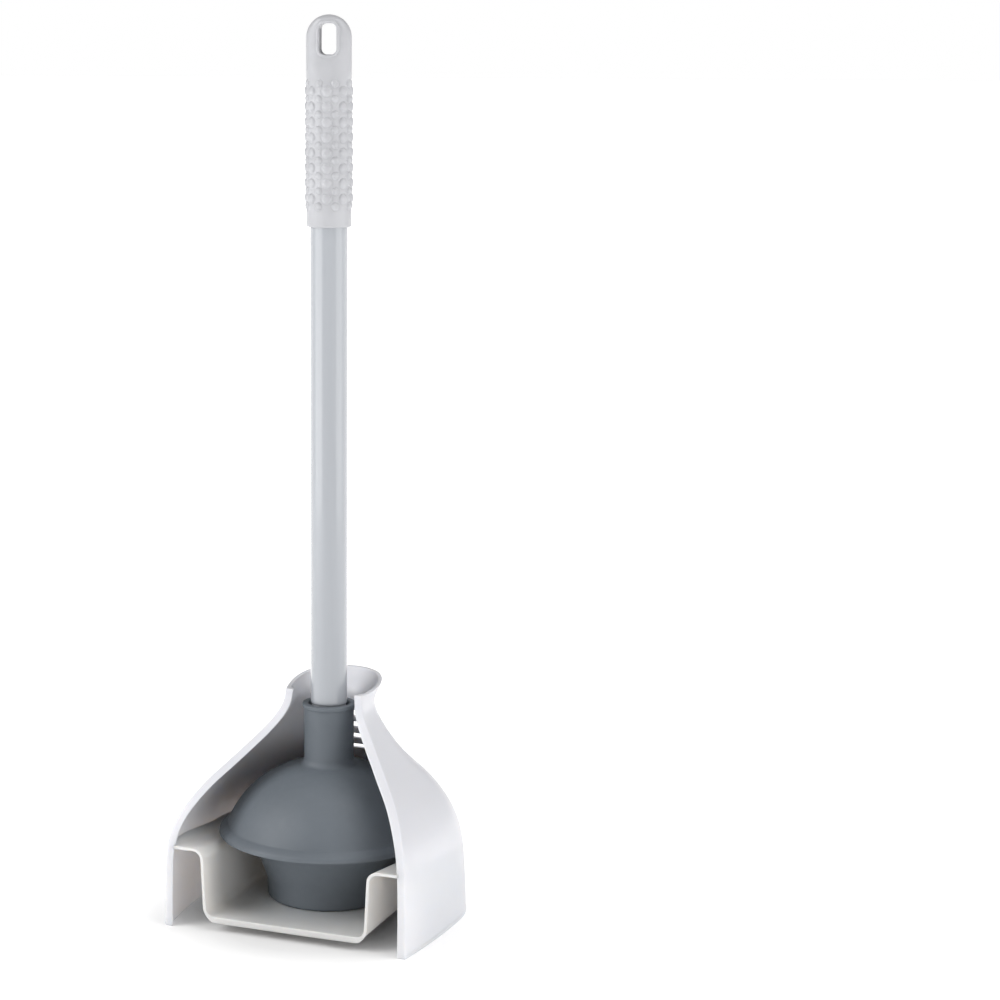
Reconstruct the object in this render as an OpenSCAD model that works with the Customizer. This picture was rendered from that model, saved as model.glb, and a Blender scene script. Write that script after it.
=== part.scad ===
// Flange plunger standing in an open-front caddy.
// Origin: on the floor, on the handle's axis. +Z is up and the caddy opens towards -Y.

/* [Handle] */
// Outer diameter of the handle tube
tube_d = 25.4; // [22:0.2:27]
// Wall thickness of the handle tube
tube_wall = 0.9; // [0.6:0.1:1.5]
// Height of the top of the hand grip above the floor
overall_h = 617; // [500:1:700]
// Diameter of the hand grip between its nubs
grip_d = 30.2; // [29:0.2:34]
// Length of the hand grip
grip_len = 140; // [130:1:160]
// Height of each nub above the grip's surface
nub_proud = 0.9; // [0.4:0.1:1.5]
// Rows of nubs along the grip
nub_rows = 8; // [4:1:8]
// How far the hanging eye is turned away from the caddy's front, in degrees
grip_turn = 17; // [0:1:45]

/* [Rubber cup] */
// Outer diameter of the cup's rim
cup_d = 153.6; // [148:0.2:156]
// Height of the cup's lowest edge above the floor
cup_z = 10.2; // [9.2:0.5:11.2]
// Outer diameter of the flange at its lip
lip_d = 85.6; // [80:0.2:90]
// Outer diameter of the neck
neck_d = 34.6; // [33:0.2:36]
// Wall thickness of the dome
dome_wall = 3; // [2:0.1:4]

/* [Caddy] */
// Height of the collar's front tips
caddy_h = 157; // [152:1:162]
// Wall thickness of the shell, measured level
shell_t = 3; // [2.4:0.1:3.4]
// Half width of the channel between the tray's walls
channel_half = 60; // [56:0.5:62]
// Thickness of the tray's sheet
tray_t = 2; // [1.6:0.1:3]
// Number of vent slots in the back wall
vent_count = 4; // [0:1:4]

/* [Hidden] */
$fn = 96;
eps = 0.01;
rest_gap = 0.2;             // between the cup and the tray below it

// ---- colours
shell_white = [0.93, 0.93, 0.94];
grip_grey = [0.88, 0.88, 0.87];
tube_grey = [0.84, 0.86, 0.89];
rubber_grey = [0.36, 0.39, 0.41];
tip_grey = [0.55, 0.55, 0.57];

// ---- heights of the cup, all above the floor
rim_z = cup_z + 46;          // the rim's widest line
rim_low_z = rim_z - 1;       // the rim's underside
crease_z = rim_z + 6;        // where the dome meets the rim
dome_mid_z = cup_z + 30;     // centre of the dome's ellipse
neck_top_z = cup_z + 137.7;
lip_top_z = cup_z + 6;       // joint line between flange and lip
flange_top_z = cup_z + 40.6; // underside of the rim's web where the flange starts

// ---- radii of the cup
rim_r = cup_d / 2;
lip_r = lip_d / 2;
neck_r = neck_d / 2;
dome_a = rim_r - 1.8;        // the dome's ellipse, half its width
dome_b = 67;                 // and half its height
root_r = 22;                 // joint line between dome and neck
web_r = 58;                  // joint line between rim web and flange
flange_wall = 2.6;

// ---- the threaded joint in the neck
socket_r = tube_d / 2 + 0.05;
tube_end_z = neck_top_z - 20;
thread_r = 9.5;
thread_bore_r = thread_r + 0.1;
thread_len = 20;
thread_pitch = 4;
tip_flange_t = 2;
tip_end_z = tube_end_z - tip_flange_t - thread_len;

// ---- the grip
grip_r = grip_d / 2;
grip_z = overall_h - grip_len;
tube_top_z = overall_h - 57;
eye_w = 11.4;
eye_h = 20.4;
eye_corner = 3.8;
eye_z = overall_h - 16;
eye_bead = 2.2;
eye_thick = 19;              // front to back at the eye
nub_r = 3.3;
nub_pitch = 10.1;
nub_first_z = grip_z + 19.2;
nub_columns = 8;

// ---- the caddy's outer shape: stations up the wall, bottom to top
// [height, half width at the front edge, reach of the front edge, half width at the side,
//  where the back curve starts, reach of the back]
STATIONS = [
    [0,   88.5, 80.7, 95.2, 10, 83.5],
    [30,  88.4, 80.2, 94.2, 10, 82.8],
    [55,  87.6, 79,   92.2, 9,  81.4],
    [75,  83,   72,   85.7, 8,  75.5],
    [95,  71.5, 55.5, 72.1, 6,  61],
    [115, 54,   36,   53,   3,  39],
    [133, 38.5, 20,   37.5, 4,  33.5],
    [caddy_h - 11, 30.5, 12.5, 29.5, 6, 33.5],
    [caddy_h, 28.4, 9.4, 32, 12, 47]
];
collar_rise = 6.5;           // how much higher the collar is at its back
side_steps = 6;
back_steps = 26;
wall_rows = 28;
last = len(STATIONS) - 1;
station_top = STATIONS[last][0];

// Smooth curve through one column of the stations, at height h
function seg(h, i = 0) = (i >= last - 1 || h < STATIONS[i + 1][0]) ? i : seg(h, i + 1);
function slope(i, k) = let (a = max(i - 1, 0), b = min(i + 1, last))
    i == 0 ? 0 : (STATIONS[b][k] - STATIONS[a][k]) / (STATIONS[b][0] - STATIONS[a][0]);
function hermite(t, a, b, ma, mb) = (2*t*t*t - 3*t*t + 1) * a + (t*t*t - 2*t*t + t) * ma
    + (3*t*t - 2*t*t*t) * b + (t*t*t - t*t) * mb;
function wall(h, k) = let (i = seg(h), d = STATIONS[i + 1][0] - STATIONS[i][0])
    hermite((h - STATIONS[i][0]) / d, STATIONS[i][k], STATIONS[i + 1][k],
            slope(i, k) * d, slope(i + 1, k) * d);

// Point j of the plan at height h, from the right front edge round the back to the left one
plan_n = 2 * side_steps + back_steps;
function side_pt(h, u, inset) = let (w = wall(h, 1) - inset, s = wall(h, 3) - inset)
    [s - (s - w) * u * u, wall(h, 4) - (wall(h, 2) + wall(h, 4)) * u];
function back_pt(h, a, inset) =
    [(wall(h, 3) - inset) * cos(a), wall(h, 4) + (wall(h, 5) - wall(h, 4) - inset) * sin(a)];
function plan_pt(h, j, inset) =
    j < side_steps ? side_pt(h, 1 - j / side_steps, inset)
    : j <= side_steps + back_steps ? back_pt(h, 180 * (j - side_steps) / back_steps, inset)
    : let (p = side_pt(h, (j - side_steps - back_steps) / side_steps, inset)) [-p[0], p[1]];

// How far round the back point j is: 0 at the front edges, 1 in the middle of the back
function backness(j) = let (u = 1 - abs(2 * j / plan_n - 1)) u * u * (3 - 2 * u);
function row_h(i) = station_top * i / wall_rows;
// The collar's last quarter rises towards the back
function lift(i, j) = let (t = max(0, (i / wall_rows - 0.8) / 0.2)) collar_rise * t * t * backness(j);

module shell_wall() {
    cols = plan_n + 1;
    rows = wall_rows + 1;
    outer = [for (i = [0:wall_rows]) for (j = [0:plan_n])
        let (p = plan_pt(row_h(i), j, 0)) [p[0], p[1], row_h(i) + lift(i, j)]];
    inner = [for (i = [0:wall_rows]) for (j = [0:plan_n])
        let (p = plan_pt(row_h(i), j, shell_t)) [p[0], p[1], row_h(i) + lift(i, j)]];
    n = rows * cols;
    quads = concat(
        [for (i = [0:wall_rows - 1]) for (j = [0:plan_n - 1])
            [i*cols + j, (i+1)*cols + j, (i+1)*cols + j+1, i*cols + j+1]],
        [for (i = [0:wall_rows - 1]) for (j = [0:plan_n - 1])
            [n + i*cols + j, n + i*cols + j+1, n + (i+1)*cols + j+1, n + (i+1)*cols + j]],
        [for (j = [0:plan_n - 1]) [j, j+1, n + j+1, n + j]],
        [for (j = [0:plan_n - 1]) let (a = wall_rows * cols)
            [a + j, n + a + j, n + a + j+1, a + j+1]],
        [for (i = [0:wall_rows - 1]) [i*cols, n + i*cols, n + (i+1)*cols, (i+1)*cols]],
        [for (i = [0:wall_rows - 1]) let (b = plan_n)
            [i*cols + b, (i+1)*cols + b, n + (i+1)*cols + b, n + i*cols + b]]);
    tris = [for (q = quads) each [[q[0], q[1], q[2]], [q[0], q[2], q[3]]]];
    polyhedron(points = concat(outer, inner), faces = tris);
}

// Heights of the vent slots' middles, from the top one down
vent_top_z = 133;
vent_h = 4;
vent_half = 20;
function vent_z(k) = vent_top_z - k * (7.5 + 0.6 * k);

module caddy_shell() {
    color(shell_white)
    difference() {
        shell_wall();
        if (vent_count > 0)
            for (k = [0:vent_count - 1])
                translate([-vent_half, wall(vent_z(k), 4) + 8, vent_z(k) - vent_h / 2])
                    cube([2 * vent_half, 90, vent_h]);
    }
}

// ---- the drip tray: a channel for the flange, with shelves beside and behind it
tray_front = 79;             // reach of the tray's front edge
shelf_z = 57;                // the shelves' height at the front
shelf_fall = 0.13;           // how steeply they drop towards the back
floor_z = cup_z - rest_gap;
floor_r = 6;                 // rounding between the channel's floor and walls
shelf_r = 8;                 // rounding between the channel's walls and the shelves
wall_lean = 1.5;             // the channel is this much narrower at the floor
tray_bite = 0.3;             // how far the shelves reach into the shell's wall
tray_lip_h = 4.4;
tray_lip_t = 3;
tray_foot = channel_half - wall_lean;
plate_r = tray_foot - floor_r + 0.5;

function arc(cx, cz, r, a0, a1, n) =
    [for (k = [0:n]) let (a = a0 + (a1 - a0) * k / n) [cx + r * cos(a), cz + r * sin(a)]];
function shelf_top(y) = shelf_z - shelf_fall * (min(y, 0) + tray_front);

// Where the shelf meets the shell's wall at point j of the plan
function shelf_end(j) = let (y = plan_pt(shelf_z, j, shell_t)[1])
    plan_pt(shelf_top(y), j, shell_t - tray_bite);

// Section of the sheet, from the edge of the floor plate out to the shell
function sheet_line(z, reach, t, steps) = concat(
    arc(tray_foot - floor_r, floor_z + floor_r, floor_r + t, -90, -3, steps),
    arc(channel_half + shelf_r, z - shelf_r, shelf_r - t, 177, 90, steps),
    [[reach, z - t]]);
function reversed(v) = [for (k = [len(v) - 1:-1:0]) v[k]];

// Sections run sideways from the channel along its straight part and fan out round its back
function sheet_section(j) = let (
        p = shelf_end(j),
        z = shelf_top(p[1]),
        straight = p[1] <= 0,
        start = straight ? [0, p[1]] : [0, 0],
        reach = norm(p - start),
        way = (p - start) / reach,
        outline = concat(sheet_line(z, reach, 0, 5), reversed(sheet_line(z, reach, tray_t, 5))))
    [for (q = outline) [start[0] + way[0] * q[0], start[1] + way[1] * q[0], q[1]]];

module tray_sheet() {
    sections = [for (j = [0:plan_n]) sheet_section(j)];
    m = len(sections[0]);
    half = m / 2;
    sides = [for (j = [0:plan_n - 1]) for (k = [0:m - 1]) let (a = j * m, k2 = (k + 1) % m)
        [a + k, a + m + k, a + m + k2, a + k2]];
    ends = [for (j = [0, plan_n]) for (k = [0:half - 2]) let (a = j * m, q =
        [a + k, a + k + 1, a + m - 2 - k, a + m - 1 - k]) j == 0 ? q : reversed(q)];
    tris = [for (q = concat(sides, ends)) each [[q[0], q[1], q[2]], [q[0], q[2], q[3]]]];
    polyhedron(points = [for (s = sections) each s], faces = tris);
}

module drip_tray() {
    color(shell_white) {
        tray_sheet();
        translate([0, 0, floor_z - tray_t]) {
            intersection() {
                cylinder(r = plate_r, h = tray_t);
                translate([-plate_r, 0, 0]) cube([2 * plate_r, plate_r, tray_t]);
            }
            translate([-plate_r, -tray_front, 0]) cube([2 * plate_r, tray_front, tray_t]);
        }
        translate([-plate_r, -tray_front, floor_z - tray_lip_h])
            cube([2 * plate_r, tray_lip_t, tray_lip_h]);
    }
}

// ---- handle
// The eye's outline, a rectangle with round corners, grown by grow
module eye_outline(grow) {
    flat_w = eye_w - 2 * eye_corner;
    flat_h = eye_h - 2 * eye_corner;
    for (x = [-1, 1]) for (y = [-1, 1])
        translate([x * flat_w / 2, y * flat_h / 2]) circle(eye_corner + grow);
    square([eye_w + 2 * grow, flat_h], center = true);
    square([flat_w, eye_h + 2 * grow], center = true);
}

module eye_prism(depth, grow)
    translate([0, 0, eye_z]) rotate([90, 0, 0])
        linear_extrude(depth, center = true) eye_outline(grow);

// Turned outline of the grip: straight sides and a round top
grip_outline = concat([[0, grip_z], [grip_r - 0.8, grip_z], [grip_r, grip_z + 0.8]],
    arc(0, overall_h - grip_r, grip_r, 0, 90, 12));
// Front-to-back outline: full size below, flattened at the eye
flat_from = grip_z + 88;
flat_to = grip_z + 112;
flat_half = eye_thick / 2;
grip_side = [[-grip_r - 1, grip_z], [grip_r + 1, grip_z], [grip_r + 1, flat_from],
    [flat_half + 2.6, (flat_from + flat_to) / 2 + 2], [flat_half, flat_to], [flat_half - 1.5, overall_h],
    [1.5 - flat_half, overall_h], [-flat_half, flat_to],
    [-flat_half - 2.6, (flat_from + flat_to) / 2 + 2], [-grip_r - 1, flat_from]];

module nub(z, a)
    rotate([0, 0, a]) translate([0, -grip_r + 1, z]) rotate([90, 0, 0])
        cylinder(r = nub_r, h = 1 + nub_proud);

module hand_grip() {
    color(grip_grey) rotate([0, 0, grip_turn])
    difference() {
        union() {
            intersection() {
                rotate_extrude() polygon(grip_outline);
                rotate([90, 0, 90]) linear_extrude(3 * grip_r, center = true) polygon(grip_side);
            }
            eye_prism(eye_thick + 1.2, eye_bead);
            for (c = [0:nub_columns - 1]) {
                for (row = [0:nub_rows - 1])
                    nub(nub_first_z + row * nub_pitch, c * 360 / nub_columns);
                for (row = [0:nub_rows])
                    nub(nub_first_z + (row - 0.5) * nub_pitch, (c + 0.5) * 360 / nub_columns);
            }
        }
        eye_prism(3 * grip_r, 0);
        translate([0, 0, grip_z - 1]) cylinder(r = socket_r, h = tube_top_z - grip_z + 1.2);
    }
}

module handle_tube() {
    color(tube_grey) translate([0, 0, tube_end_z]) difference() {
        cylinder(d = tube_d, h = tube_top_z - tube_end_z);
        translate([0, 0, -1]) cylinder(d = tube_d - 2 * tube_wall, h = tube_top_z - tube_end_z + 2);
    }
}

plug_len = 26;
thread_depth = 1.2;
module threaded_tip() {
    color(tip_grey) {
        translate([0, 0, tube_end_z - eps]) cylinder(r = tube_d / 2 - tube_wall, h = plug_len);
        translate([0, 0, tube_end_z - tip_flange_t]) cylinder(d = tube_d, h = tip_flange_t);
        translate([0, 0, tip_end_z]) cylinder(r = thread_r - thread_depth, h = thread_len + 1);
        for (k = [0:thread_len / thread_pitch - 2])
            translate([0, 0, tip_end_z + 2 + k * thread_pitch]) {
                cylinder(r1 = thread_r - thread_depth, r2 = thread_r, h = 1);
                translate([0, 0, 1]) cylinder(r = thread_r, h = 0.8);
                translate([0, 0, 1.8]) cylinder(r1 = thread_r, r2 = thread_r - thread_depth, h = 1);
            }
    }
}

// ---- rubber cup
function dome_z(r, inset) = dome_mid_z + (dome_b - inset) * sqrt(1 - pow(r / (dome_a - inset), 2));
function dome_r(z, inset) = (dome_a - inset) * sqrt(1 - pow((z - dome_mid_z) / (dome_b - inset), 2));
neck_lip_r = neck_r + 1.2;
neck_lip_t = 2.8;
foot_r = 5;                  // rounding between neck and dome
neck_low_z = dome_z(root_r, dome_wall);

module cup_neck() {
    color(rubber_grey) difference() {
        rotate_extrude() polygon(concat(
            [[0, neck_low_z], [root_r, neck_low_z], [root_r, dome_z(root_r, 0)]],
            arc(neck_r + foot_r, dome_z(root_r, 0) + foot_r, foot_r, 262, 180, 7),
            [[neck_r, neck_top_z - neck_lip_t - 0.6], [neck_lip_r, neck_top_z - neck_lip_t],
             [neck_lip_r, neck_top_z - 0.6], [neck_lip_r - 0.6, neck_top_z], [0, neck_top_z]]));
        translate([0, 0, tube_end_z - tip_flange_t]) cylinder(r = socket_r, h = 40);
        translate([0, 0, tip_end_z - 0.5]) cylinder(r = thread_bore_r, h = 40);
    }
}

dome_steps = 14;
module cup_dome() {
    top_a = acos(root_r / dome_a);
    low_a = asin((crease_z - dome_mid_z) / dome_b);
    in_top_a = acos(root_r / (dome_a - dome_wall));
    in_low_a = asin((crease_z - dome_mid_z) / (dome_b - dome_wall));
    color(rubber_grey) rotate_extrude() polygon(concat(
        [for (k = [0:dome_steps]) let (a = low_a + (top_a - low_a) * k / dome_steps)
            [dome_a * cos(a), dome_mid_z + dome_b * sin(a)]],
        [for (k = [0:dome_steps]) let (a = in_top_a + (in_low_a - in_top_a) * k / dome_steps)
            [(dome_a - dome_wall) * cos(a), dome_mid_z + (dome_b - dome_wall) * sin(a)]]));
}

module cup_rim() {
    top_out = dome_r(crease_z, 0);
    top_in = dome_r(crease_z, dome_wall);
    color(rubber_grey) rotate_extrude() polygon(concat(
        [[top_in, crease_z], [top_out, crease_z]],
        arc(rim_r - 5, rim_z, 5, 72, 0, 5),
        arc(rim_r - 1, rim_low_z + 1, 1, -20, -90, 3),
        [[web_r + 8, rim_low_z], [web_r, flange_top_z]],
        [[web_r, flange_top_z + 3], [web_r + 7, rim_low_z + 3], [top_in - 0.6, crease_z - 4]]));
}

module cup_flange() {
    color(rubber_grey) rotate_extrude() polygon([
        [web_r, flange_top_z], [52.5, flange_top_z - 6], [48.4, flange_top_z - 13],
        [45.4, flange_top_z - 21], [lip_r + 0.8, flange_top_z - 27], [lip_r, lip_top_z],
        [lip_r - flange_wall, lip_top_z], [lip_r + 0.8 - flange_wall, flange_top_z - 26],
        [45.6 - flange_wall, flange_top_z - 19], [46, flange_top_z - 11],
        [50.5, flange_top_z - 3.4], [web_r, flange_top_z + 3]]);
}

module flange_lip() {
    inner_r = lip_r - flange_wall;
    color(rubber_grey) rotate_extrude() polygon(concat(
        [[inner_r, lip_top_z], [inner_r, cup_z + 1], [inner_r + 0.8, cup_z]],
        arc(lip_r - 1.6, cup_z + 1.6, 1.6, -90, 0, 4),
        [[lip_r, lip_top_z]]));
}

caddy_shell();
drip_tray();
hand_grip();
handle_tube();
threaded_tip();
cup_neck();
cup_dome();
cup_rim();
cup_flange();
flange_lip();
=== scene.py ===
"""The looks of a flange plunger that stands in its open-front caddy."""
import math

import bmesh
import bpy
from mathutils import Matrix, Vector


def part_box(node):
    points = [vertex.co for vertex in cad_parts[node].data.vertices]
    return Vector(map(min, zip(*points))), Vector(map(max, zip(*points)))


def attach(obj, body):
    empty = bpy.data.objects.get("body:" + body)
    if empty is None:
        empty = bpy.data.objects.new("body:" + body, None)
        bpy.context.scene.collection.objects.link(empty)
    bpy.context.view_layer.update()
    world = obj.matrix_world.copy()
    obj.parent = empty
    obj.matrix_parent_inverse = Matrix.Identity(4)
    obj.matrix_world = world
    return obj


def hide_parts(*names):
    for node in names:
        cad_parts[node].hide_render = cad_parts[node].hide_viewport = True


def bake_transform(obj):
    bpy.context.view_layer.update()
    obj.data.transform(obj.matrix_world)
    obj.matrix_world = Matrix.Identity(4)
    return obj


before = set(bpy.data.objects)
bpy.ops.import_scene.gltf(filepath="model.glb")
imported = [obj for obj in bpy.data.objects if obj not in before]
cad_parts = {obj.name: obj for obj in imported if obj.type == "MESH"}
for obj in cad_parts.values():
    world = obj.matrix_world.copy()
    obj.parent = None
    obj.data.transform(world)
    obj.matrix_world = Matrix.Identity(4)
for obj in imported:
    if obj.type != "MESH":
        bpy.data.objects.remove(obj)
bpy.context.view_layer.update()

MM = 0.001


# ---------------------------------------------------------------- sizes, in millimetres
def box_mm(node):
    """A CAD node's lowest and highest corners, in millimetres."""
    low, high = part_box(node)
    return low / MM, high / MM


_, shell_high = box_mm("caddy_shell")
tray_low, tray_high = box_mm("drip_tray")
grip_low, grip_high = box_mm("hand_grip")
tube_low, tube_high = box_mm("handle_tube")
neck_low, neck_high = box_mm("cup_neck")
dome_low, dome_high = box_mm("cup_dome")
_, rim_high = box_mm("cup_rim")
_, flange_high = box_mm("cup_flange")
lip_low, lip_high = box_mm("flange_lip")


# ---------------------------------------------------------------- mesh helpers
def new_piece(name, points, faces, creases=()):
    """A mesh piece from points in millimetres, with smooth faces.

    creases holds (point number, point number, sharpness) for edges that stay sharp."""
    mesh = bpy.data.meshes.new(name)
    mesh.from_pydata([[c * MM for c in p] for p in points], [], faces)
    same_place = 1e-7
    bm = bmesh.new()
    bm.from_mesh(mesh)
    bm.verts.ensure_lookup_table()
    layer = bm.edges.layers.float.new("crease_edge")
    for a, b, value in creases:
        edge = bm.edges.get((bm.verts[a], bm.verts[b]))
        if edge:
            edge[layer] = value
    bmesh.ops.remove_doubles(bm, verts=bm.verts, dist=same_place)
    bmesh.ops.delete(bm, geom=[v for v in bm.verts if not v.link_faces], context="VERTS")
    bmesh.ops.recalc_face_normals(bm, faces=bm.faces)
    for face in bm.faces:
        face.smooth = True
    bm.to_mesh(mesh)
    bm.free()
    piece = bpy.data.objects.new(name, mesh)
    bpy.context.scene.collection.objects.link(piece)
    return piece


def subdivide(piece, levels):
    """Adds a subdivision surface."""
    modifier = piece.modifiers.new("subdivision", "SUBSURF")
    modifier.levels = modifier.render_levels = levels


def smoothstep(t):
    """0 up to t = 0, 1 from t = 1 on, and a soft S between them."""
    t = max(0.0, min(1.0, t))
    return t * t * (3 - 2 * t)


def mix(a, b, t):
    return a + (b - a) * t


def arc(cx, cy, r, a0, a1, steps):
    """Points on an arc, angles in degrees."""
    angles = [math.radians(mix(a0, a1, k / steps)) for k in range(steps + 1)]
    return [(cx + r * math.cos(a), cy + r * math.sin(a)) for a in angles]


def revolve(name, profile, segments=128):
    """A turned piece from (radius, height) points.

    The profile is a closed ring unless both its ends are on the axis."""
    on_axis = 1e-6
    open_ends = profile[0][0] < on_axis and profile[-1][0] < on_axis
    count = len(profile)
    points = []
    for s in range(segments):
        a = 2 * math.pi * s / segments
        points += [(r * math.cos(a), r * math.sin(a), z) for r, z in profile]
    faces = []
    for s in range(segments):
        here, there = s * count, (s + 1) % segments * count
        for k in range(count - 1 if open_ends else count):
            n = (k + 1) % count
            faces.append([here + k, there + k, there + n, here + n])
    return new_piece(name, points, faces)


def two_skins(rows, cols, holes=()):
    """Faces of a sheet between an outer and an inner grid of points, and its border's edges.

    Point (i, j) of the outer grid is number i * cols + j, and the inner grid follows it."""
    inner = rows * cols
    solid = {(i, j) for i in range(rows - 1) for j in range(cols - 1)} - set(holes)
    faces, border = [], []
    for i, j in sorted(solid):
        a, b = i * cols + j, i * cols + j + 1
        c, d = b + cols, a + cols
        faces += [[a, b, c, d], [inner + d, inner + c, inner + b, inner + a]]
        sides = (((i - 1, j), a, b), ((i, j + 1), b, c), ((i + 1, j), c, d), ((i, j - 1), d, a))
        for beside, p, q in sides:
            if beside not in solid:
                faces.append([q, p, inner + p, inner + q])
                border.append((p, q))
    return faces, border


# ---------------------------------------------------------------- the caddy's shell
# Height, half width at the front edge, reach of the front edge, half width at the side,
# where the back curve starts, and reach of the back: the same stations as the design's.
STATIONS = [
    (0, 88.5, 80.7, 95.2, 10, 83.5),
    (30, 88.4, 80.2, 94.2, 10, 82.8),
    (55, 87.6, 79, 92.2, 9, 81.4),
    (75, 83, 72, 85.7, 8, 75.5),
    (95, 71.5, 55.5, 72.1, 6, 61),
    (115, 54, 36, 53, 3, 39),
    (133, 38.5, 20, 37.5, 4, 33.5),
    (146, 30.5, 12.5, 29.5, 6, 33.5),
    (157, 28.4, 9.4, 32, 12, 47),
]
FRONT_HALF, FRONT_REACH, SIDE_HALF, BACK_START, BACK_REACH = 1, 2, 3, 4, 5
shell_top = STATIONS[-1][0]
collar_rise = shell_high.z - shell_top
shell_wall = 3.0
edge_roll = 1.3         # how wide the rounded corner of the front edge is
edge_wall = 5.6         # how thick the wall is at the front edge, measured square to it
edge_width = 6.5        # how far back the thicker band ends
edge_full = 2.6         # how far back it keeps its full thickness
foot_proud = 0.45       # how far the narrow band round the foot stands out
vent_half = 20.0        # half the vents' width; near the top they are narrower
vent_widest = 0.66      # and at most this much of the wall's half width
vent_height = 4.0
VENTS = [133 - k * (7.5 + 0.6 * k) for k in range(4)]


def wall(h, k):
    """The value at height h on a smooth curve through column k of the stations."""
    last = len(STATIONS) - 1
    i = next((n for n in range(last) if h < STATIONS[n + 1][0]), last - 1)
    low, high = STATIONS[i], STATIONS[i + 1]
    d = high[0] - low[0]

    def slope(n):
        if n == 0:
            return 0
        a, b = STATIONS[n - 1], STATIONS[min(n + 1, last)]
        return (b[k] - a[k]) / (b[0] - a[0])

    t = (h - low[0]) / d
    return (
        (2 * t**3 - 3 * t**2 + 1) * low[k]
        + (t**3 - 2 * t**2 + t) * slope(i) * d
        + (3 * t**2 - 2 * t**3) * high[k]
        + (t**3 - t**2) * slope(i + 1) * d
    )


def side_point(h, from_edge, inset):
    """A point of the right side wall, from_edge millimetres behind the front edge."""
    front, side, start = wall(h, FRONT_HALF), wall(h, SIDE_HALF), wall(h, BACK_START)
    length = wall(h, FRONT_REACH) + start
    u = 1 - from_edge / length
    return side - inset - (side - front) * u * u, start - length * u


def back_point(h, angle, inset):
    """A point of the back wall, angle radians round from the right side."""
    start = wall(h, BACK_START)
    x = (wall(h, SIDE_HALF) - inset) * math.cos(angle)
    return x, start + (wall(h, BACK_REACH) - start - inset) * math.sin(angle)


EDGE_STEPS = [0, 0.3, 0.7, 1.3, 2.4, 4.0, 5.6, 7.4]
SIDE_STEPS = 8
CORNER_STEPS = 12
VENT_STEPS = 10
half_columns = len(EDGE_STEPS) - 1 + SIDE_STEPS + CORNER_STEPS
columns = 2 * half_columns + VENT_STEPS + 1


def plan_point(h, column, inset):
    """Point of the plan at height h: right front edge, round the back, to the left one.

    inset(from_edge) is how far inside the outer face the point lies."""
    if column > half_columns + VENT_STEPS:
        x, y = plan_point(h, columns - 1 - column, inset)
        return -x, y
    if column < len(EDGE_STEPS):
        return side_point(h, EDGE_STEPS[column], inset(EDGE_STEPS[column]))
    length = wall(h, FRONT_REACH) + wall(h, BACK_START)
    column -= len(EDGE_STEPS) - 1
    if column < SIDE_STEPS:
        from_edge = mix(EDGE_STEPS[-1], length, column / SIDE_STEPS)
        return side_point(h, from_edge, inset(from_edge))
    column -= SIDE_STEPS
    side = wall(h, SIDE_HALF)
    vent_angle = math.acos(min(vent_half, vent_widest * side) / side)
    if column <= CORNER_STEPS:
        return back_point(h, vent_angle * column / CORNER_STEPS, inset(length))
    t = (column - CORNER_STEPS) / VENT_STEPS
    return back_point(h, mix(vent_angle, math.pi - vent_angle, t), inset(length))


def outer_inset(from_edge):
    """How far the outer face has rolled inwards, from_edge millimetres behind the front edge."""
    u = 1 - min(1.0, from_edge / edge_roll)
    return 0.6 * edge_roll * (1 - math.sqrt(1 - u * u))


def foot_bead(h):
    """How far the outer face stands out in the narrow band round the shell's foot."""
    return foot_proud * smoothstep(h / 0.5) * (1 - smoothstep((h - 2.0) / 0.9))


def inner_inset(h, from_edge):
    """The wall thickens inwards at the front edge.

    The inset is measured level, so a wall that leans needs more of it."""
    lean = (wall(h + 2, FRONT_HALF) - wall(max(0, h - 2), FRONT_HALF)) / 4
    bead = edge_wall * math.sqrt(1 + lean * lean) - shell_wall
    return shell_wall + bead * (1 - smoothstep((from_edge - edge_full) / (edge_width - edge_full)))


def backness(column):
    """0 at the front edges, 1 in the middle of the back."""
    _, y = plan_point(shell_top, column, lambda from_edge: 0)
    front = -wall(shell_top, FRONT_REACH)
    return smoothstep((y - front) / (wall(shell_top, BACK_REACH) - front))


def lift(h, column):
    """How far a point goes up, so that the top fifth rises towards its back."""
    t = max(0.0, (h / shell_top - 0.8) / 0.2)
    return collar_rise * t * t * backness(column)


def shell_rows():
    """Heights of the shell's rows: close at the foot band and the top, and on the vents' edges."""
    rows = [0, 0.25, 0.6, 1.3, 2.0, 2.5, 3.0, 4, 9, 17, 26]
    rows += [36, 46, 55, 63, 71, 79, 86, 92, 97, 101]
    for z in reversed(VENTS):
        rows += [z - vent_height / 2, z + vent_height / 2]
    return rows + [138, 141.5, 145, 148, 151, 153.5, 155.4, 156.5, shell_top]


def make_shell():
    """The caddy's bell, open in front, with vents at the back."""
    rows = shell_rows()
    outer = [
        (*plan_point(h, c, lambda d: outer_inset(d) - foot_bead(h)), h + lift(h, c))
        for h in rows
        for c in range(columns)
    ]
    inside = [
        (*plan_point(h, c, lambda d: inner_inset(h, d)), h + lift(h, c))
        for h in rows
        for c in range(columns)
    ]
    vents = [round(z - vent_height / 2, 6) for z in VENTS]
    holes = [
        (i, half_columns + c)
        for i, h in enumerate(rows)
        if round(h, 6) in vents
        for c in range(VENT_STEPS)
    ]
    faces, border = two_skins(len(rows), columns, holes)
    inner = len(rows) * columns
    creases = []
    for p, q in border:
        front = p % columns in (0, columns - 1) and q % columns == p % columns
        outside, inside_edge = (0.35, 0.85) if front else (0.65, 0.65)
        creases += [(p, q, outside), (inner + p, inner + q, inside_edge)]
    piece = new_piece("caddy_shell_skin", outer + inside, faces, creases)
    subdivide(piece, 2)
    return piece


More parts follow.
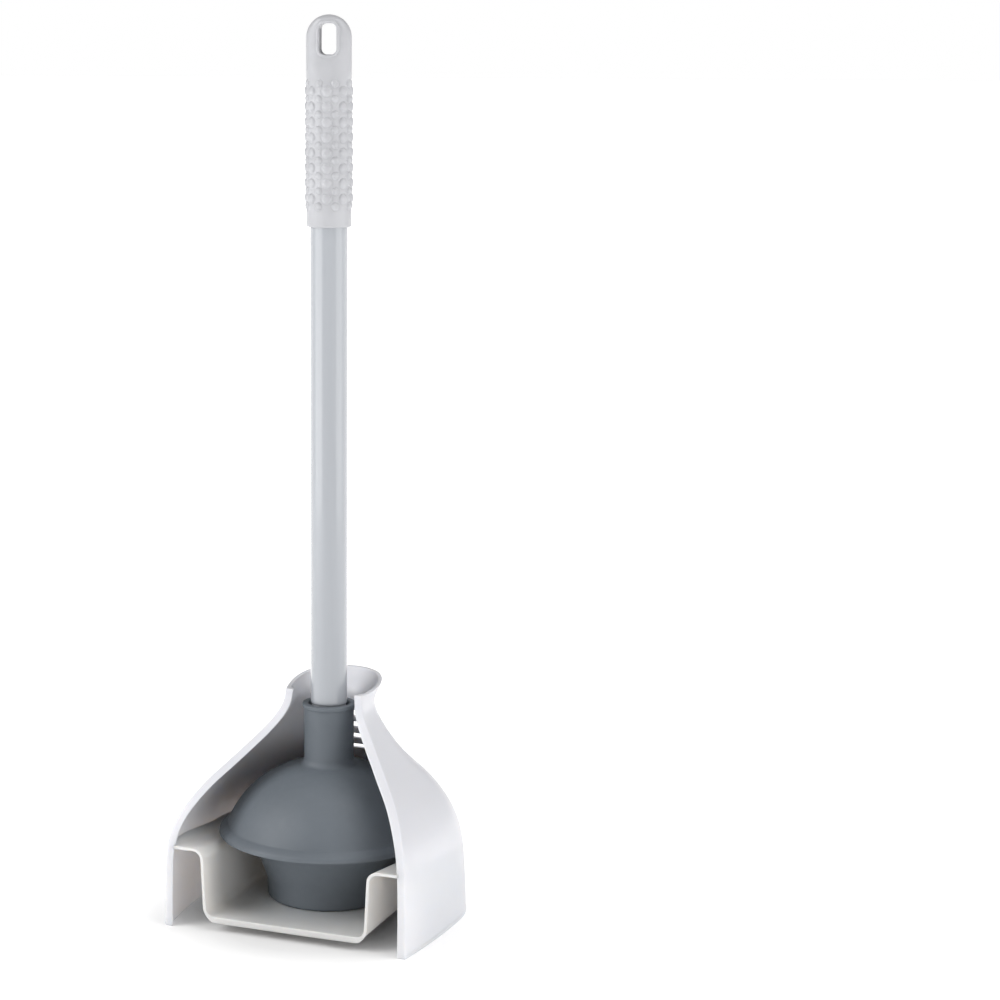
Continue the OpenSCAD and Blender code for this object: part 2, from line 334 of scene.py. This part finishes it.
# ---------------------------------------------------------------- the drip tray
tray_front = -tray_low.y
tray_sheet = 2.0
floor_top = tray_low.z + 4.4
shelf_front_z = tray_high.z
shelf_fall = 0.13       # how far the shelves fall for each millimetre towards the back
channel_half = 60.0     # half width between the shelves, at their height
foot_half = 58.5        # and at the floor
floor_r = 6.0
shelf_r = 8.0
wall_r = 8.0            # rounding between the shelves and the shell
wall_front_r = 1.5      # and at the front edge
front_lip = 4.4         # how deep the floor's front edge is
front_lip_width = 3.0
fan_columns = 26        # columns of the half circle at the back
side_step = 11          # distance between the columns along the sides
TRAY_EDGE = [0, 0.4, front_lip_width - 0.3, front_lip_width + 0.3, 6]


def tray_route():
    """Columns of the tray, from the right front edge round the back to the left one.

    Each is (y, None) on the right side, (None, angle) at the back and (y, "left") on the left."""
    right = [(y - tray_front, None) for y in TRAY_EDGE]
    right += [(y, None) for y in range(-6 * side_step, 0, side_step)]
    right[-1] = (-4, None)
    fan = [(None, math.pi * (k + 0.5) / fan_columns) for k in range(fan_columns)]
    left = [(y, "left") for y, _ in reversed(right)]
    return right + fan + left


def shell_reach(z, start, way, inset):
    """How far it is from start, along way, to inset millimetres inside the shell's outer face."""
    far, near, halvings = 140.0, 20.0, 30
    front, side, back = wall(z, FRONT_HALF), wall(z, SIDE_HALF), wall(z, BACK_START)
    length = wall(z, FRONT_REACH) + back
    depth = wall(z, BACK_REACH) - back - inset
    for _ in range(halvings):
        middle = (far + near) / 2
        x, y = abs(start[0] + way[0] * middle), start[1] + way[1] * middle
        if y > back:
            outside = (x / (side - inset)) ** 2 + ((y - back) / depth) ** 2 > 1
        else:
            u = (back - y) / length
            outside = x > side - inset - (side - front) * u * u
        near, far = (near, middle) if outside else (middle, far)
    return near


def tray_section(start, way, from_front):
    """Top and bottom lines of the sheet, from the floor's edge out into the shell's wall."""
    z = shelf_front_z - shelf_fall * (min(start[1], 0) + tray_front)
    z = z if way[1] == 0 else shelf_front_z - shelf_fall * tray_front
    round_r = mix(wall_front_r, wall_r, smoothstep(from_front / 16))
    into_wall = mix(edge_wall - 0.8, shell_wall - 1.2, smoothstep((from_front - 3) / 9))
    end = shell_reach(z + round_r, start, way, into_wall)
    deep = front_lip if from_front < front_lip_width else tray_sheet
    top = arc(foot_half - floor_r, floor_top + floor_r, floor_r, -90, -2, 6)
    top += arc(channel_half + shelf_r, z - shelf_r, shelf_r, 178, 90, 7)
    top += [(mix(channel_half + shelf_r, end - round_r, 0.5), z)]
    top += arc(end - round_r, z + round_r, round_r, -90, 0, 6)
    low = []
    under = arc(foot_half - floor_r, floor_top + floor_r, floor_r + tray_sheet, -90, -2, 6)
    for k, (r, low_z) in enumerate(under):
        extra = (deep - tray_sheet) * (1 - smoothstep(k / 4))
        low.append((r, low_z - extra))
    low += arc(channel_half + shelf_r, z - shelf_r, shelf_r - tray_sheet, 178, 90, 7)
    low += [(mix(channel_half + shelf_r, end - round_r, 0.5), z - tray_sheet)]
    low += [(end - round_r + round_r * k / 6 + 0.4 * k / 6, z - tray_sheet) for k in range(7)]
    return top, low


def make_tray():
    """The channel under the cup and the shelves on both sides of it."""
    tops, lows = [], []
    for y, turn in tray_route():
        if turn is None or turn == "left":
            start, way, from_front = (0, y), (1 if turn is None else -1, 0), y + tray_front
        else:
            start, way, from_front = (0, 0), (math.cos(turn), math.sin(turn)), tray_front
        for skin, line in zip((tops, lows), tray_section(start, way, from_front)):
            skin.append([(start[0] + way[0] * r, start[1] + way[1] * r, z) for r, z in line])
    cols, rows = len(tops), len(tops[0])
    points = [skin[j][i] for skin in (tops, lows) for i in range(rows) for j in range(cols)]
    faces, border = two_skins(rows, cols)
    inner = rows * cols
    # The floor plate joins the first row, so that row has no end wall
    faces = [f for f in faces if not all(v % inner < cols for v in f)]
    strips = len(TRAY_EDGE) - 1
    for base in (0, inner):
        for c in range(strips):
            faces.append([base + c, base + c + 1, base + cols - 2 - c, base + cols - 1 - c])
        faces.append([base + c for c in range(strips, cols - strips)])
    faces.append([0, cols - 1, inner + cols - 1, inner])
    sharp = 0.5
    creases = [(0, cols - 1, sharp), (inner, inner + cols - 1, sharp)]
    for p, q in border:
        if p % cols == q % cols and p % cols in (0, cols - 1):
            creases += [(p, q, sharp), (inner + p, inner + q, sharp)]
    piece = new_piece("drip_tray_sheet", points, faces, creases)
    subdivide(piece, 2)
    return piece


# ---------------------------------------------------------------- the rubber cup
rim_r = rim_high.x
cup_floor = lip_low.z
rim_z = cup_floor + 46   # the middle of the rim's edge
crease_z = dome_low.z
neck_top = neck_high.z
neck_r = 17.3
neck_lip_r = 18.5
root_r = 22.0
dome_mid = cup_floor + 30
dome_a = rim_r - 1.8
dome_b = 67.0
dome_wall = 3.0
web_r = flange_high.x
flange_top = flange_high.z - 3
lip_r = lip_high.x
flange_wall = 2.6


def dome_z(r, inset):
    """Height of the dome at radius r, inset millimetres inside its outer face."""
    return dome_mid + (dome_b - inset) * math.sqrt(1 - (r / (dome_a - inset)) ** 2)


def dome_arc(inset, r_low, r_high, steps):
    """Points on the dome from radius r_low to radius r_high, inset inside its outer face."""
    a = dome_a - inset
    start, stop = math.acos(r_low / a), math.acos(r_high / a)
    angles = [mix(start, stop, k / steps) for k in range(steps + 1)]
    return [(a * math.cos(t), dome_mid + (dome_b - inset) * math.sin(t)) for t in angles]


def make_cup_body():
    """Neck, dome and rim, one moulding that gives way between the neck and the rim."""
    under = dome_z(root_r, dome_wall)
    bore_floor = neck_low.z + 4.2
    foot_r = 5.0
    foot_z = dome_z(root_r, 0) + foot_r
    crease_r = dome_a * math.sqrt(1 - ((crease_z - dome_mid) / dome_b) ** 2)
    profile = [(0, under), (8, under), (root_r - 5, under)]
    profile += dome_arc(dome_wall, root_r, crease_r - 3.4, 40)
    profile += arc(web_r + 7.5, crease_z - 2.6, 1.6, 40, 10, 3)
    profile += [(web_r + 6.4, rim_z + 1.6), (web_r, flange_top + 3.0), (web_r, flange_top + 0.1)]
    profile += [(web_r + 7, rim_z - 1.1), (web_r + 8, rim_z - 1.0), (rim_r - 3, rim_z - 1.0)]
    profile += arc(rim_r - 1.0, rim_z, 1.0, -90, 10, 6)
    profile += arc(rim_r - 3.2, rim_z + 0.6, 3.1, 12, 44, 5)
    profile += [(rim_r - 3.0, rim_z + 4.2), (rim_r - 4.6, rim_z + 5.35)]
    profile += [(crease_r + 0.35, crease_z - 0.25), (crease_r + 0.05, crease_z + 0.1)]
    profile += dome_arc(0, crease_r - 0.15, root_r + 0.6, 56)
    profile += arc(neck_r + foot_r, foot_z, foot_r, 260, 180, 12)
    profile += [(neck_r, mix(foot_z, neck_top, k / 6)) for k in range(1, 5)]
    profile += [(neck_r, neck_top - 3.7), (neck_r + 0.05, neck_top - 3.1)]
    profile += arc(neck_lip_r - 0.45, neck_top - 2.5, 0.45, -90, 0, 4)
    profile += arc(neck_lip_r - 0.7, neck_top - 0.7, 0.7, 0, 90, 5)
    profile += [(15.2, neck_top), (14.6, neck_top - 0.15), (14.1, neck_top - 0.7)]
    profile += [(13.9, neck_top - 1.6), (13.7, neck_top - 3), (12.75, neck_top - 4)]
    profile += [(12.75, tube_low.z - 2.0)]
    profile += [(9.6, tube_low.z - 2.0), (9.6, bore_floor), (0, bore_floor)]
    return revolve("rubber_cup_body", profile, 160)


def make_flange():
    """The flange below the rim, which folds up into the cup."""
    outer = [
        (web_r + 2.0, flange_top + 1.3), (web_r, flange_top), (55.6, flange_top - 2.2),
        (53.2, flange_top - 5.0), (51.0, flange_top - 8.2), (49.0, flange_top - 12.0),
        (47.6, flange_top - 15.4), (46.3, flange_top - 19.0), (45.0, flange_top - 22.6),
        (44.0, flange_top - 25.6), (43.5, flange_top - 28.4), (lip_r + 0.15, flange_top - 31.0),
        (lip_r, lip_high.z), (lip_r, cup_floor + 3.6),
    ]
    outer += arc(lip_r - 1.8, cup_floor + 1.8, 1.8, 0, -90, 6)
    tall = flange_top - lip_high.z
    # The inner face follows the outer one, from below the rim down to the lip
    inside = [(r - flange_wall, z + 1.2 * (z - lip_high.z) / tall) for r, z in outer[2:14]]
    inner = [(lip_r - flange_wall + 0.5, cup_floor), (lip_r - flange_wall, cup_floor + 0.8)]
    inner += reversed(inside)
    inner += [(web_r, flange_top + 2.9), (web_r + 2.0, flange_top + 4.0)]
    return revolve("rubber_flange", outer + inner, 144)


# ---------------------------------------------------------------- the handle
tube_r = tube_high.x
tube_wall = 0.9


def make_tube():
    """The coated tube, rounded just above the cup's neck and a little slimmer inside it."""
    end = neck_top + 0.3
    slim = tube_r - 0.55
    profile = [(slim, tube_low.z), (slim, end - 1.0), (slim + 0.03, end)]
    profile += arc(tube_r - 0.45, end + 0.5, 0.45, -80, 0, 5)
    profile += [(tube_r, mix(end + 2, tube_high.z, k / 12)) for k in range(13)]
    profile += [(tube_r - tube_wall, tube_high.z), (tube_r - tube_wall, tube_low.z)]
    return revolve("handle_tube_coated", profile, 160)


grip_turn = math.radians(17)
grip_r = 15.1
NUB_RADII = (3.15, 2.45)   # in the level rows and in the rows between them
nub_proud = 1.25           # how far the nubs stand out
nub_groove = 0.22          # the sunk ring round each nub
groove_end = 1.4           # where that ring ends, in nub radii
nub_pitch = 10.1
nub_first = grip_low.z + 19.2
NUB_ROWS = 8
NUB_COLUMNS = 8
eye_z = grip_high.z - 16
eye_half = 5.7
eye_tall = 20.4
eye_corner = 3.8
eye_bead = 2.2           # how wide the raised rim round the eye is
eye_thick = 9.5          # half thickness of the grip round the eye


def nub_height(turn, z):
    """How far the surface stands out at that turn round the grip and that height."""
    step = 2 * math.pi / NUB_COLUMNS
    best, groove = 0.0, 0.0
    for offset, count, radius in zip((0.0, -0.5), (NUB_ROWS, NUB_ROWS + 1), NUB_RADII):
        row = round((z - nub_first) / nub_pitch - offset)
        if not 0 <= row < count:
            continue
        dz = z - nub_first - (row + offset) * nub_pitch
        c = round(turn / step - offset)
        across = (turn - (c + offset) * step) * grip_r
        d = math.hypot(across, dz) / radius
        if d < 1:
            best = max(best, (1 - d**2.4) ** 0.55)
        elif d < groove_end:
            groove = max(groove, math.sin(math.pi * (d - 1) / 0.4))
    return best * nub_proud if best else -nub_groove * groove


def grip_section(z):
    """Half width, half thickness and squareness of the grip at height z."""
    flat_from, flat_over = 84, 30
    middle = grip_high.z - grip_r
    half = grip_r if z <= middle else math.sqrt(max(0.0, grip_r**2 - (z - middle) ** 2))
    flat = mix(grip_r + 1.5, eye_thick, smoothstep((z - grip_low.z - flat_from) / flat_over))
    soft = 1.2
    depth = half if half < flat - soft else flat - soft / 2 + (half - flat) * 0.12
    depth = min(half, max(depth, 0.0))
    return half, depth, mix(2.0, 2.7, smoothstep((grip_r - flat) / 5))


def grip_levels():
    """Heights of the rings, close together where the nubs are."""
    nub_spacing = 0.45
    middle = grip_high.z - grip_r
    levels = [grip_low.z + 0.8 + k for k in range(10)]
    nub_top = nub_first + nub_pitch * (NUB_ROWS - 0.5) + 5
    count = int((nub_top - levels[-1]) / nub_spacing)
    levels += [mix(levels[-1], nub_top, k / count) for k in range(1, count + 1)]
    count = int(middle - nub_top)
    levels += [mix(nub_top, middle, k / count) for k in range(1, count + 1)]
    levels += [middle + grip_r * math.sin(math.radians(a)) for a in range(4, 88, 4)]
    return levels + [middle + grip_r * math.sin(math.radians(a)) for a in (87, 89, 89.8)]


def make_grip():
    """The grip's solid sleeve with its nubs, before the eye is cut."""
    segments = 240
    levels = grip_levels()
    points, faces = [], []
    low = grip_low.z
    rings = [(tube_r + 0.05, low + 6), (tube_r + 0.05, low + 0.4), (tube_r + 0.5, low)]
    rings += [(grip_r - 0.75, low), (grip_r - 0.25, low + 0.2)]
    for r, z in rings:
        for s in range(segments):
            a = 2 * math.pi * s / segments
            points.append((r * math.sin(a), -r * math.cos(a), z))
    for z in levels:
        half, depth, power = grip_section(z)
        half, depth = max(half, 1e-6), max(depth, 1e-6)
        for s in range(segments):
            a = 2 * math.pi * s / segments
            x, y = math.sin(a), -math.cos(a)
            r = (abs(x / half) ** power + abs(y / depth) ** power) ** (-1 / power)
            r += nub_height(a, z)
            points.append((r * x, r * y, z))
    count = len(rings) + len(levels)
    for i in range(count - 1):
        here, above = i * segments, (i + 1) * segments
        for s in range(segments):
            n = (s + 1) % segments
            faces.append([here + s, here + n, above + n, above + s])
    top = (count - 1) * segments
    faces.append([top + s for s in range(segments)])
    faces.append(list(reversed(range(segments))))
    return new_piece("hand_grip_moulded", points, faces)


def eye_path(grow):
    """The eye's outline in the plane of its face, grown by grow millimetres."""
    flat_x, flat_z = eye_half - eye_corner, eye_tall / 2 - eye_corner
    path = []
    for x, z, turn in ((1, 1, 0), (-1, 1, 90), (-1, -1, 180), (1, -1, 270)):
        path += arc(x * flat_x, z * flat_z, eye_corner + grow, turn, turn + 90, 9)
        if turn in (90, 270):
            path += [(path[-1][0], mix(z, -z, k / 8) * flat_z) for k in range(1, 8)]
    return [(x, z + eye_z) for x, z in path]


def make_eye():
    """The raised rim round the eye, and the eye's own wall."""
    face = eye_thick + 0.55
    section = [(-0.05, -face + 1.6), (0.15, -face + 0.7), (0.55, -face + 0.15), (1.1, -face)]
    section += [(1.7, -face + 0.15), (eye_bead, -face + 0.7), (eye_bead + 0.3, -face + 1.6)]
    section += [(g, -y) for g, y in reversed(section)]
    rings = [eye_path(grow) for grow, _ in section]
    count, n = len(section), len(rings[0])
    points = [(x, section[k][1], z) for k in range(count) for x, z in rings[k]]
    faces = [
        [k * n + s, k * n + (s + 1) % n, (k + 1) % count * n + (s + 1) % n, (k + 1) % count * n + s]
        for k in range(count)
        for s in range(n)
    ]
    piece = new_piece("hand_grip_eye_rim", points, faces)
    subdivide(piece, 1)
    return piece


def cut_eye(grip):
    """Cuts the eye through the grip, just inside the raised rim's foot."""
    outline = eye_path(1.0)
    n = len(outline)
    points = [(x, y, z) for y in (-30, 30) for x, z in outline]
    faces = [[s, (s + 1) % n, n + (s + 1) % n, n + s] for s in range(n)]
    faces += [list(reversed(range(n))), [n + s for s in range(n)]]
    cutter = new_piece("eye_cutter", points, faces)
    modifier = grip.modifiers.new("eye", "BOOLEAN")
    modifier.operation = "DIFFERENCE"
    modifier.solver = "EXACT"
    modifier.object = cutter
    depsgraph = bpy.context.evaluated_depsgraph_get()
    mesh = bpy.data.meshes.new_from_object(grip.evaluated_get(depsgraph))
    grip.modifiers.clear()
    grip.data = mesh
    bpy.data.objects.remove(cutter)


def turn_about_axis(piece, angle):
    """Turns a piece's mesh about the handle's axis."""
    c, s = math.cos(angle), math.sin(angle)
    for v in piece.data.vertices:
        v.co = Vector((v.co.x * c - v.co.y * s, v.co.x * s + v.co.y * c, v.co.z))


# ---------------------------------------------------------------- materials
def linear(r, g, b):
    """A colour given in display values from 0 to 255."""
    return tuple(((c / 255 + 0.055) / 1.055) ** 2.4 for c in (r, g, b)) + (1.0,)


class Finish:
    """A procedural material under construction, with helpers for its noise, ramps and grain."""

    def __init__(self, name):
        self.material = bpy.data.materials.new(name)
        self.material.use_nodes = True
        self.nodes = self.material.node_tree.nodes
        self.links = self.material.node_tree.links
        self.shader = self.nodes["Principled BSDF"]
        self.place = self.nodes.new("ShaderNodeTexCoord").outputs["Object"]

    def noise(self, scale, detail=3.0, stretch=None):
        """Noise in the object's own space; stretch scales X, Y and Z first."""
        node = self.nodes.new("ShaderNodeTexNoise")
        node.inputs["Scale"].default_value = scale
        node.inputs["Detail"].default_value = detail
        vector = self.place
        if stretch:
            mapping = self.nodes.new("ShaderNodeMapping")
            mapping.inputs["Scale"].default_value = stretch
            self.links.new(vector, mapping.inputs["Vector"])
            vector = mapping.outputs["Vector"]
        self.links.new(vector, node.inputs["Vector"])
        return node.outputs["Fac"]

    def ramp(self, value, low, high, out_low, out_high):
        """Maps low..high to out_low..out_high, clamped at both ends."""
        node = self.nodes.new("ShaderNodeMapRange")
        keys = ("From Min", "From Max", "To Min", "To Max")
        for key, number in zip(keys, (low, high, out_low, out_high)):
            node.inputs[key].default_value = number
        self.links.new(value, node.inputs["Value"])
        return node.outputs["Result"]

    def colour(self, factor, a, b):
        """Base colour between a and b."""
        node = self.nodes.new("ShaderNodeMix")
        node.data_type = "RGBA"
        node.inputs["A"].default_value = a
        node.inputs["B"].default_value = b
        self.links.new(factor, node.inputs["Factor"])
        self.links.new(node.outputs["Result"], self.shader.inputs["Base Color"])

    def roughness(self, value):
        self.links.new(value, self.shader.inputs["Roughness"])

    def grain(self, layers):
        """Bump from (height, strength, depth in metres) layers, one on the other."""
        normal = None
        for height, strength, depth in layers:
            node = self.nodes.new("ShaderNodeBump")
            node.inputs["Strength"].default_value = strength
            node.inputs["Distance"].default_value = depth
            self.links.new(height, node.inputs["Height"])
            if normal:
                self.links.new(normal, node.inputs["Normal"])
            normal = node.outputs["Normal"]
        self.links.new(normal, self.shader.inputs["Normal"])

    def constants(self, **values):
        """Sets the shader's own inputs, named with _ for a space."""
        for key, number in values.items():
            self.shader.inputs[key.replace("_", " ")].default_value = number


def white_plastic(name, bright, dim, deep_weight, deep_reach):
    """Moulded plastic that light gets through, most of all near the foot and the front edge.

    deep_weight and deep_reach (metres) hold for the rest: high up and far back."""
    finish = Finish(name)
    finish.colour(finish.ramp(finish.noise(14, 4), 0.1, 0.9, 0, 1), bright, dim)
    finish.roughness(finish.ramp(finish.noise(45, 5), 0.1, 0.9, 0.25, 0.41))
    finish.grain([(finish.noise(900, 2), 0.10, 0.00010), (finish.noise(30, 2), 0.10, 0.0006)])
    finish.constants(IOR=1.49, Subsurface_Radius=(1.0, 0.90, 0.80))
    parts = finish.nodes.new("ShaderNodeSeparateXYZ")
    finish.links.new(finish.place, parts.inputs["Vector"])
    foot_zone, front_zone = (0.045, 0.080), (-0.080, -0.056)
    foot = finish.ramp(parts.outputs["Z"], *foot_zone, 1, 0)
    front = finish.ramp(parts.outputs["Y"], *front_zone, 1, 0)
    more = finish.nodes.new("ShaderNodeMath")
    more.operation = "MAXIMUM"
    finish.links.new(foot, more.inputs[0])
    finish.links.new(front, more.inputs[1])
    weight = finish.ramp(more.outputs["Value"], 0, 1, deep_weight, 0.95)
    reach = finish.ramp(more.outputs["Value"], 0, 1, deep_reach, 0.011)
    finish.links.new(weight, finish.shader.inputs["Subsurface Weight"])
    finish.links.new(reach, finish.shader.inputs["Subsurface Scale"])
    return finish.material


def grip_plastic():
    finish = Finish("grip_plastic")
    clouds = finish.ramp(finish.noise(60, 4), 0.35, 0.65, 0, 1)
    finish.colour(clouds, linear(187, 188, 192), linear(180, 181, 185))
    finish.roughness(finish.ramp(finish.noise(120, 4), 0.3, 0.7, 0.30, 0.42))
    finish.grain([(finish.noise(2600, 3), 0.22, 0.00008)])
    finish.constants(IOR=1.49)
    return finish.material


def tube_coating():
    finish = Finish("tube_coating")
    streaks = finish.ramp(finish.noise(90, 3, (1, 1, 0.04)), 0.3, 0.7, 0, 1)
    finish.colour(streaks, linear(166, 170, 176), linear(161, 165, 171))
    finish.roughness(finish.ramp(finish.noise(160, 4), 0.3, 0.7, 0.16, 0.24))
    finish.grain([(finish.noise(700, 2), 0.06, 0.00008)])
    finish.constants(IOR=1.5, Coat_Weight=1.0, Coat_Roughness=0.06)
    return finish.material


def slate_rubber():
    finish = Finish("slate_rubber")
    clouds = finish.ramp(finish.noise(26, 6), 0.3, 0.7, 0, 1)
    finish.colour(clouds, linear(101, 108, 115), linear(94, 101, 108))
    finish.roughness(finish.ramp(finish.noise(200, 5), 0.3, 0.7, 0.50, 0.62))
    finish.grain([(finish.noise(3200, 3), 0.35, 0.00010), (finish.noise(420, 3), 0.12, 0.00016)])
    finish.constants(IOR=1.5)
    return finish.material


def tip_plastic():
    finish = Finish("tip_plastic")
    clouds = finish.ramp(finish.noise(120, 4), 0.3, 0.7, 0, 1)
    finish.colour(clouds, linear(142, 142, 146), linear(130, 130, 134))
    finish.roughness(finish.ramp(finish.noise(200, 3), 0.3, 0.7, 0.4, 0.55))
    finish.grain([(finish.noise(1800, 3), 0.2, 0.0001)])
    return finish.material


def light_table():
    """The studio floor: one pale colour with a glow of its own, which also lights the object from
    below; the glow fades out under and just in front of the caddy as a painted contact shadow.
    """
    finish = Finish("light_table")
    finish.roughness(finish.ramp(finish.noise(8, 3), 0.1, 0.9, 0.80, 1.0))
    finish.constants(Base_Color=(0.91, 0.91, 0.91, 1), Specular_IOR_Level=0.0)
    finish.constants(Emission_Color=(1, 1, 1, 1))
    # The painted contact shadow, where the glow fades out, is centred 30 mm to the front
    centre = finish.nodes.new("ShaderNodeMapping")
    centre.inputs["Location"].default_value = (0.0, 0.03, 0)
    finish.links.new(finish.place, centre.inputs["Vector"])
    away = finish.nodes.new("ShaderNodeVectorMath")
    away.operation = "LENGTH"
    finish.links.new(centre.outputs["Vector"], away.inputs[0])
    distance = away.outputs["Value"]
    near_glow, far_glow = 0.38, 0.22
    # No glow within 65 mm of that centre and full glow from 140 mm: the painted contact shadow
    near = finish.ramp(distance, 0.065, 0.140, 0.0, near_glow)
    far = finish.ramp(distance, 0.3, 1.1, 0.0, far_glow)
    total = finish.nodes.new("ShaderNodeMath")
    finish.links.new(near, total.inputs[0])
    finish.links.new(far, total.inputs[1])
    finish.links.new(total.outputs["Value"], finish.shader.inputs["Emission Strength"])
    return finish.material


def dress(piece, material, body=None):
    """Gives a piece its material and slot, and sets it on its body."""
    piece.data.materials.clear()
    piece.data.materials.append(material)
    if body:
        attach(piece, body)


# ---------------------------------------------------------------- put it together
shell_finish = white_plastic(
    "shell_plastic", linear(218, 219, 224), linear(212, 213, 218),
    deep_weight=0.30, deep_reach=0.003,
)
tray_finish = white_plastic(
    "tray_plastic", linear(215, 214, 212), linear(209, 208, 206),
    deep_weight=0.95, deep_reach=0.011,
)
rubber = slate_rubber()

shell = make_shell()
dress(shell, shell_finish, "caddy")
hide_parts("caddy_shell")

tray = make_tray()
dress(tray, tray_finish, "caddy")
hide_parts("drip_tray")

cup_body = make_cup_body()
dress(cup_body, rubber)
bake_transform(cup_body)
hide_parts("cup_neck", "cup_dome", "cup_rim")

flange = make_flange()
dress(flange, rubber)
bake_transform(flange)
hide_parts("cup_flange", "flange_lip")

tube = make_tube()
dress(tube, tube_coating(), "handle")
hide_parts("handle_tube")

grip = make_grip()
cut_eye(grip)
eye_rim = make_eye()
grip_finish = grip_plastic()
for piece in (grip, eye_rim):
    turn_about_axis(piece, grip_turn)
    dress(piece, grip_finish, "handle")
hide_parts("hand_grip")

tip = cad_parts["threaded_tip"]
tip.data.materials.clear()
tip.data.materials.append(tip_plastic())


# ---------------------------------------------------------------- floor, light and camera
def make_floor():
    """A square of floor, 40 m each way from the middle."""
    half = 40.0
    corners = [(-half, -half, 0), (half, -half, 0), (half, half, 0), (-half, half, 0)]
    mesh = bpy.data.meshes.new("studio_floor")
    mesh.from_pydata(corners, [], [[0, 1, 2, 3]])
    floor = bpy.data.objects.new("studio_floor", mesh)
    bpy.context.scene.collection.objects.link(floor)
    mesh.materials.append(light_table())


def aim(thing, target):
    """Turns a lamp or a camera towards target."""
    direction = Vector(target) - thing.location
    thing.rotation_mode = "QUATERNION"
    thing.rotation_quaternion = direction.to_track_quat("-Z", "Y")


def from_angle(azimuth, elevation, distance, height=0.0):
    """A place round the object; azimuth 0 is in front and 90 to the right, in degrees."""
    a, e = math.radians(azimuth), math.radians(elevation)
    out = distance * math.cos(e)
    return Vector((out * math.sin(a), -out * math.cos(a), height + distance * math.sin(e)))


def sun(name, azimuth, elevation, strength, spread):
    """A soft far light; spread is its width in degrees."""
    light = bpy.data.lights.new(name, "SUN")
    light.energy = strength
    light.angle = math.radians(spread)
    lamp = bpy.data.objects.new(name, light)
    bpy.context.scene.collection.objects.link(lamp)
    lamp.location = from_angle(azimuth, elevation, 3)
    aim(lamp, (0, 0, 0))


def panel(name, azimuth, distance, width, height, power):
    """A standing soft box that lights the object from the side."""
    light = bpy.data.lights.new(name, "AREA")
    light.shape = "RECTANGLE"
    light.size = width
    light.size_y = height
    light.energy = power
    lamp = bpy.data.objects.new(name, light)
    bpy.context.scene.collection.objects.link(lamp)
    lamp.location = from_angle(azimuth, 0, distance, height / 2)
    aim(lamp, (0, 0, height / 2))
    lamp.visible_camera = False


def make_world(light_level):
    """Plain white behind the scene, and a weak warm light from all round."""
    world = bpy.data.worlds.new("studio")
    bpy.context.scene.world = world
    world.use_nodes = True
    nodes, links = world.node_tree.nodes, world.node_tree.links
    background = nodes["Background"]
    path = nodes.new("ShaderNodeLightPath")
    tint = nodes.new("ShaderNodeMix")
    tint.data_type = "RGBA"
    tint.inputs["A"].default_value = (1.0, 0.96, 0.92, 1)
    tint.inputs["B"].default_value = (1, 1, 1, 1)
    links.new(path.outputs["Is Camera Ray"], tint.inputs["Factor"])
    links.new(tint.outputs["Result"], background.inputs["Color"])
    level = nodes.new("ShaderNodeMapRange")
    level.inputs["To Min"].default_value = light_level
    level.inputs["To Max"].default_value = 1.0
    links.new(path.outputs["Is Camera Ray"], level.inputs["Value"])
    links.new(level.outputs["Result"], background.inputs["Strength"])


def make_camera():
    """A long lens from the front right, a little above, with the object left of the middle."""
    view_angle = math.radians(22.8)
    distance, height, aim_height = 1.7301, 0.598, 0.2903
    data = bpy.data.cameras.new("camera")
    data.sensor_width = 36
    data.lens = 92.4
    data.shift_x = 0.171
    camera = bpy.data.objects.new("camera", data)
    bpy.context.scene.collection.objects.link(camera)
    camera.location = (distance * math.sin(view_angle), -distance * math.cos(view_angle), height)
    aim(camera, (0, 0, aim_height))
    bpy.context.scene.camera = camera


make_floor()
make_world(0.14)
panel("softbox_left", -44, 1.5, 1.34, 1.9, 13)
panel("softbox_right", 88, 1.5, 1.15, 1.9, 7.5)
sun("key_high_left", -55, 40, 1.05, 30)
sun("high_right", 105, 60, 1.5, 60)
sun("fill_front", 50, 8, 0.45, 36)
make_camera()
bpy.context.scene.view_settings.view_transform = "Standard"
